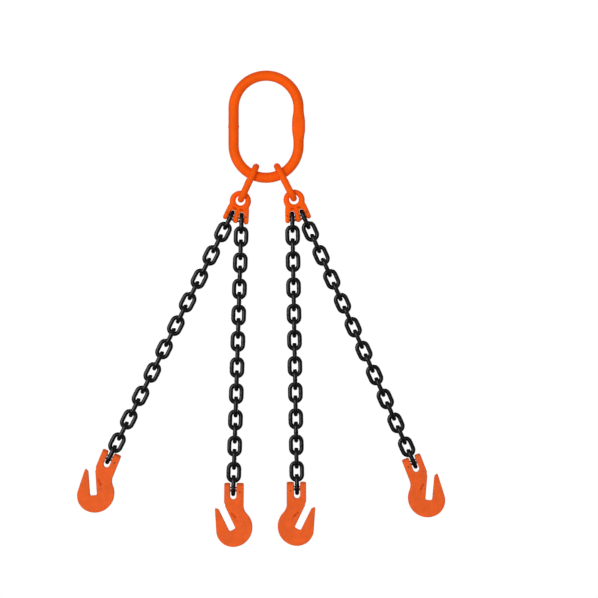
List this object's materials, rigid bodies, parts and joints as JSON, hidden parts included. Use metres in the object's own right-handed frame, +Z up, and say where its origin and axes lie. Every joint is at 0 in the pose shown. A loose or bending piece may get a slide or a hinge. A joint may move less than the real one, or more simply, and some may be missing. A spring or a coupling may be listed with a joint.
{
  "type": "four leg chain sling",
  "caption": "Lifting sling: an oblong master link, plain intermediate links and twin clevis connectors carry legs of short link chain that end in clevis grab hooks.",
  "frame": {"origin": "where the crane hook bears, at the top of the inside of the master link, in the middle of the bar's thickness", "axes": "+Z up, +X to the right in the plane that the legs hang in, +Y through the thickness of the sling, away from the viewer"},
  "size_m": [0.6741, 0.049, 0.8724],
  "materials": {
    "upper_fitting_paint": "semi-gloss orange powder coat on forged steel",
    "hook_paint": "satin orange powder coat on forged steel",
    "black_chain_finish": "glossy black lacquer on alloy steel chain",
    "load_pin_steel": "bare ground steel",
    "spring_pin_steel": "dark oiled spring steel"
  },
  "bodies": {
    "master_link": {"master_link": "upper_fitting_paint"},
    "intermediate_left": {"intermediate_link_left": "upper_fitting_paint"},
    "connector_left": {"twin_clevis_left": "upper_fitting_paint", "clevis_outer_left_pin": "load_pin_steel", "clevis_outer_left_spring_pin": "spring_pin_steel", "clevis_inner_left_pin": "load_pin_steel", "clevis_inner_left_spring_pin": "spring_pin_steel"},
    "intermediate_right": {"intermediate_link_right": "upper_fitting_paint"},
    "connector_right": {"twin_clevis_right": "upper_fitting_paint", "clevis_inner_right_pin": "load_pin_steel", "clevis_inner_right_spring_pin": "spring_pin_steel", "clevis_outer_right_pin": "load_pin_steel", "clevis_outer_right_spring_pin": "spring_pin_steel"},
    "chain_outer_left_1": {"chain_outer_left_1": "black_chain_finish"},
    "chain_outer_left_2": {"chain_outer_left_2": "black_chain_finish"},
    "chain_outer_left_3": {"chain_outer_left_3": "black_chain_finish"},
    "chain_outer_left_4": {"chain_outer_left_4": "black_chain_finish"},
    "chain_outer_left_5": {"chain_outer_left_5": "black_chain_finish"},
    "chain_outer_left_6": {"chain_outer_left_6": "black_chain_finish"},
    "chain_outer_left_7": {"chain_outer_left_7": "black_chain_finish"},
    "chain_outer_left_8": {"chain_outer_left_8": "black_chain_finish"},
    "hook_outer_left": {"hook_outer_left": "hook_paint", "hook_outer_left_pin": "load_pin_steel", "hook_outer_left_spring_pin": "spring_pin_steel"},
    "chain_inner_left_1": {"chain_inner_left_1": "black_chain_finish"},
    "chain_inner_left_2": {"chain_inner_left_2": "black_chain_finish"},
    "chain_inner_left_3": {"chain_inner_left_3": "black_chain_finish"},
    "chain_inner_left_4": {"chain_inner_left_4": "black_chain_finish"},
    "chain_inner_left_5": {"chain_inner_left_5": "black_chain_finish"},
    "chain_inner_left_6": {"chain_inner_left_6": "black_chain_finish"},
    "chain_inner_left_7": {"chain_inner_left_7": "black_chain_finish"},
    "chain_inner_left_8": {"chain_inner_left_8": "black_chain_finish"},
    "hook_inner_left": {"hook_inner_left": "hook_paint", "hook_inner_left_pin": "load_pin_steel", "hook_inner_left_spring_pin": "spring_pin_steel"},
    "chain_inner_right_1": {"chain_inner_right_1": "black_chain_finish"},
    "chain_inner_right_2": {"chain_inner_right_2": "black_chain_finish"},
    "chain_inner_right_3": {"chain_inner_right_3": "black_chain_finish"},
    "chain_inner_right_4": {"chain_inner_right_4": "black_chain_finish"},
    "chain_inner_right_5": {"chain_inner_right_5": "black_chain_finish"},
    "chain_inner_right_6": {"chain_inner_right_6": "black_chain_finish"},
    "chain_inner_right_7": {"chain_inner_right_7": "black_chain_finish"},
    "chain_inner_right_8": {"chain_inner_right_8": "black_chain_finish"},
    "hook_inner_right": {"hook_inner_right": "hook_paint", "hook_inner_right_pin": "load_pin_steel", "hook_inner_right_spring_pin": "spring_pin_steel"},
    "chain_outer_right_1": {"chain_outer_right_1": "black_chain_finish"},
    "chain_outer_right_2": {"chain_outer_right_2": "black_chain_finish"},
    "chain_outer_right_3": {"chain_outer_right_3": "black_chain_finish"},
    "chain_outer_right_4": {"chain_outer_right_4": "black_chain_finish"},
    "chain_outer_right_5": {"chain_outer_right_5": "black_chain_finish"},
    "chain_outer_right_6": {"chain_outer_right_6": "black_chain_finish"},
    "chain_outer_right_7": {"chain_outer_right_7": "black_chain_finish"},
    "chain_outer_right_8": {"chain_outer_right_8": "black_chain_finish"},
    "hook_outer_right": {"hook_outer_right": "hook_paint", "hook_outer_right_pin": "load_pin_steel", "hook_outer_right_spring_pin": "spring_pin_steel"}
  },
  "joints": [
    {"name": "intermediate_left_swing", "type": "hinge", "parent": "master_link", "child": "intermediate_left", "pos_m": [-0.02515, 0, -0.17192], "axis": [0.9063, 0, -0.4226], "range_deg": [-80, 80]},
    {"name": "connector_left_swing", "type": "hinge", "parent": "intermediate_left", "child": "connector_left", "pos_m": [-0.04349, 0, -0.20624], "axis": [-0.9694, 0, 0.2453], "range_deg": [-15, 15]},
    {"name": "intermediate_right_swing", "type": "hinge", "parent": "master_link", "child": "intermediate_right", "pos_m": [0.02747, 0, -0.17078], "axis": [0.887, 0, 0.4617], "range_deg": [-80, 80]},
    {"name": "connector_right_swing", "type": "hinge", "parent": "intermediate_right", "child": "connector_right", "pos_m": [0.04811, 0, -0.20405], "axis": [-0.9763, 0, -0.2164], "range_deg": [-15, 15]},
    {"name": "chain_outer_left_1_swing", "type": "hinge", "parent": "connector_left", "child": "chain_outer_left_1", "pos_m": [-0.06526, 0, -0.24947], "axis": [0.8973, 0, -0.4415], "range_deg": [-75, 75]},
    {"name": "chain_outer_left_2_swing", "type": "hinge", "parent": "chain_outer_left_1", "child": "chain_outer_left_2", "pos_m": [-0.08629, 0, -0.29128], "axis": [-0.8934, 0, 0.4493], "range_deg": [-75, 75]},
    {"name": "chain_outer_left_3_swing", "type": "hinge", "parent": "chain_outer_left_2", "child": "chain_outer_left_3", "pos_m": [-0.10777, 0, -0.33398], "axis": [-0.8934, 0, 0.4493], "range_deg": [-75, 75]},
    {"name": "chain_outer_left_4_swing", "type": "hinge", "parent": "chain_outer_left_3", "child": "chain_outer_left_4", "pos_m": [-0.15104, 0, -0.42001], "axis": [0.8934, 0, -0.4493], "range_deg": [-75, 75]},
    {"name": "chain_outer_left_5_swing", "type": "hinge", "parent": "chain_outer_left_4", "child": "chain_outer_left_5", "pos_m": [-0.18341, 0, -0.48438], "axis": [0, -1, 0], "range_deg": [-60, 35]},
    {"name": "chain_outer_left_6_swing", "type": "hinge", "parent": "chain_outer_left_5", "child": "chain_outer_left_6", "pos_m": [-0.21578, 0, -0.54875], "axis": [-0.8934, 0, 0.4493], "range_deg": [-75, 75]},
    {"name": "chain_outer_left_7_swing", "type": "hinge", "parent": "chain_outer_left_6", "child": "chain_outer_left_7", "pos_m": [-0.24816, 0, -0.61311], "axis": [0, -1, 0], "range_deg": [-60, 60]},
    {"name": "chain_outer_left_8_swing", "type": "hinge", "parent": "chain_outer_left_7", "child": "chain_outer_left_8", "pos_m": [-0.26964, 0, -0.65582], "axis": [0, -1, 0], "range_deg": [-60, 60]},
    {"name": "hook_outer_left_swing", "type": "hinge", "parent": "chain_outer_left_8", "child": "hook_outer_left", "pos_m": [-0.28693, 0, -0.69021], "axis": [0.9252, 0, -0.3795], "range_deg": [-75, 75]},
    {"name": "chain_inner_left_1_swing", "type": "hinge", "parent": "connector_left", "child": "chain_inner_left_1", "pos_m": [-0.0449, 0, -0.25462], "axis": [-0.9993, 0, 0.0384], "range_deg": [-75, 75]},
    {"name": "chain_inner_left_2_swing", "type": "hinge", "parent": "chain_inner_left_1", "child": "chain_inner_left_2", "pos_m": [-0.04559, 0, -0.27716], "axis": [0, -1, 0], "range_deg": [-20, 4]},
    {"name": "chain_inner_left_3_swing", "type": "hinge", "parent": "chain_inner_left_2", "child": "chain_inner_left_3", "pos_m": [-0.04779, 0, -0.34918], "axis": [0.9995, 0, -0.0305], "range_deg": [-75, 75]},
    {"name": "chain_inner_left_4_swing", "type": "hinge", "parent": "chain_inner_left_3", "child": "chain_inner_left_4", "pos_m": [-0.04999, 0, -0.42119], "axis": [0, -1, 0], "range_deg": [-25, 6]},
    {"name": "chain_inner_left_5_swing", "type": "hinge", "parent": "chain_inner_left_4", "child": "chain_inner_left_5", "pos_m": [-0.05219, 0, -0.49321], "axis": [-0.9995, 0, 0.0305], "range_deg": [-75, 75]},
    {"name": "chain_inner_left_6_swing", "type": "hinge", "parent": "chain_inner_left_5", "child": "chain_inner_left_6", "pos_m": [-0.05439, 0, -0.56522], "axis": [0, -1, 0], "range_deg": [-45, 10]},
    {"name": "chain_inner_left_7_swing", "type": "hinge", "parent": "chain_inner_left_6", "child": "chain_inner_left_7", "pos_m": [-0.05659, 0, -0.63724], "axis": [0.9995, 0, -0.0305], "range_deg": [-75, 75]},
    {"name": "chain_inner_left_8_swing", "type": "hinge", "parent": "chain_inner_left_7", "child": "chain_inner_left_8", "pos_m": [-0.0588, 0, -0.70926], "axis": [0, -1, 0], "range_deg": [-60, 25]},
    {"name": "hook_inner_left_swing", "type": "hinge", "parent": "chain_inner_left_8", "child": "hook_inner_left", "pos_m": [-0.05997, 0, -0.74774], "axis": [0.9999, 0, -0.0105], "range_deg": [-75, 75]},
    {"name": "chain_inner_right_1_swing", "type": "hinge", "parent": "connector_right", "child": "chain_inner_right_1", "pos_m": [0.04808, 0, -0.25245], "axis": [-1, 0, -0.0087], "range_deg": [-75, 75]},
    {"name": "chain_inner_right_2_swing", "type": "hinge", "parent": "chain_inner_right_1", "child": "chain_inner_right_2", "pos_m": [0.04847, 0, -0.275], "axis": [0, -1, 0], "range_deg": [-4, 18]},
    {"name": "chain_inner_right_3_swing", "type": "hinge", "parent": "chain_inner_right_2", "child": "chain_inner_right_3", "pos_m": [0.04973, 0, -0.34703], "axis": [0.9998, 0, 0.0175], "range_deg": [-75, 75]},
    {"name": "chain_inner_right_4_swing", "type": "hinge", "parent": "chain_inner_right_3", "child": "chain_inner_right_4", "pos_m": [0.05099, 0, -0.41907], "axis": [0, -1, 0], "range_deg": [-6, 25]},
    {"name": "chain_inner_right_5_swing", "type": "hinge", "parent": "chain_inner_right_4", "child": "chain_inner_right_5", "pos_m": [0.05225, 0, -0.49111], "axis": [-0.9998, 0, -0.0175], "range_deg": [-75, 75]},
    {"name": "chain_inner_right_6_swing", "type": "hinge", "parent": "chain_inner_right_5", "child": "chain_inner_right_6", "pos_m": [0.0535, 0, -0.56315], "axis": [0, -1, 0], "range_deg": [-10, 40]},
    {"name": "chain_inner_right_7_swing", "type": "hinge", "parent": "chain_inner_right_6", "child": "chain_inner_right_7", "pos_m": [0.05476, 0, -0.63519], "axis": [0.9998, 0, 0.0175], "range_deg": [-75, 75]},
    {"name": "chain_inner_right_8_swing", "type": "hinge", "parent": "chain_inner_right_7", "child": "chain_inner_right_8", "pos_m": [0.05602, 0, -0.70723], "axis": [0, -1, 0], "range_deg": [-25, 60]},
    {"name": "hook_inner_right_swing", "type": "hinge", "parent": "chain_inner_right_8", "child": "hook_inner_right", "pos_m": [0.05669, 0, -0.74572], "axis": [1, 0, 0.0035], "range_deg": [-75, 75]},
    {"name": "chain_outer_right_1_swing", "type": "hinge", "parent": "connector_right", "child": "chain_outer_right_1", "pos_m": [0.06858, 0, -0.2479], "axis": [0.91, 0, 0.4147], "range_deg": [-75, 75]},
    {"name": "chain_outer_right_2_swing", "type": "hinge", "parent": "chain_outer_right_1", "child": "chain_outer_right_2", "pos_m": [0.08769, 0, -0.29063], "axis": [-0.9128, 0, -0.4083], "range_deg": [-75, 75]},
    {"name": "chain_outer_right_3_swing", "type": "hinge", "parent": "chain_outer_right_2", "child": "chain_outer_right_3", "pos_m": [0.10721, 0, -0.33426], "axis": [-0.9128, 0, -0.4083], "range_deg": [-75, 75]},
    {"name": "chain_outer_right_4_swing", "type": "hinge", "parent": "chain_outer_right_3", "child": "chain_outer_right_4", "pos_m": [0.14653, 0, -0.42216], "axis": [0.9128, 0, 0.4083], "range_deg": [-75, 75]},
    {"name": "chain_outer_right_5_swing", "type": "hinge", "parent": "chain_outer_right_4", "child": "chain_outer_right_5", "pos_m": [0.17595, 0, -0.48793], "axis": [0, -1, 0], "range_deg": [-30, 60]},
    {"name": "chain_outer_right_6_swing", "type": "hinge", "parent": "chain_outer_right_5", "child": "chain_outer_right_6", "pos_m": [0.20537, 0, -0.5537], "axis": [-0.9128, 0, -0.4083], "range_deg": [-75, 75]},
    {"name": "chain_outer_right_7_swing", "type": "hinge", "parent": "chain_outer_right_6", "child": "chain_outer_right_7", "pos_m": [0.23479, 0, -0.61947], "axis": [0, -1, 0], "range_deg": [-60, 60]},
    {"name": "chain_outer_right_8_swing", "type": "hinge", "parent": "chain_outer_right_7", "child": "chain_outer_right_8", "pos_m": [0.25431, 0, -0.66311], "axis": [0, -1, 0], "range_deg": [-60, 60]},
    {"name": "hook_outer_right_swing", "type": "hinge", "parent": "chain_outer_right_8", "child": "hook_outer_right", "pos_m": [0.27003, 0, -0.69825], "axis": [0.9317, 0, 0.3633], "range_deg": [-75, 75]}
  ]
}
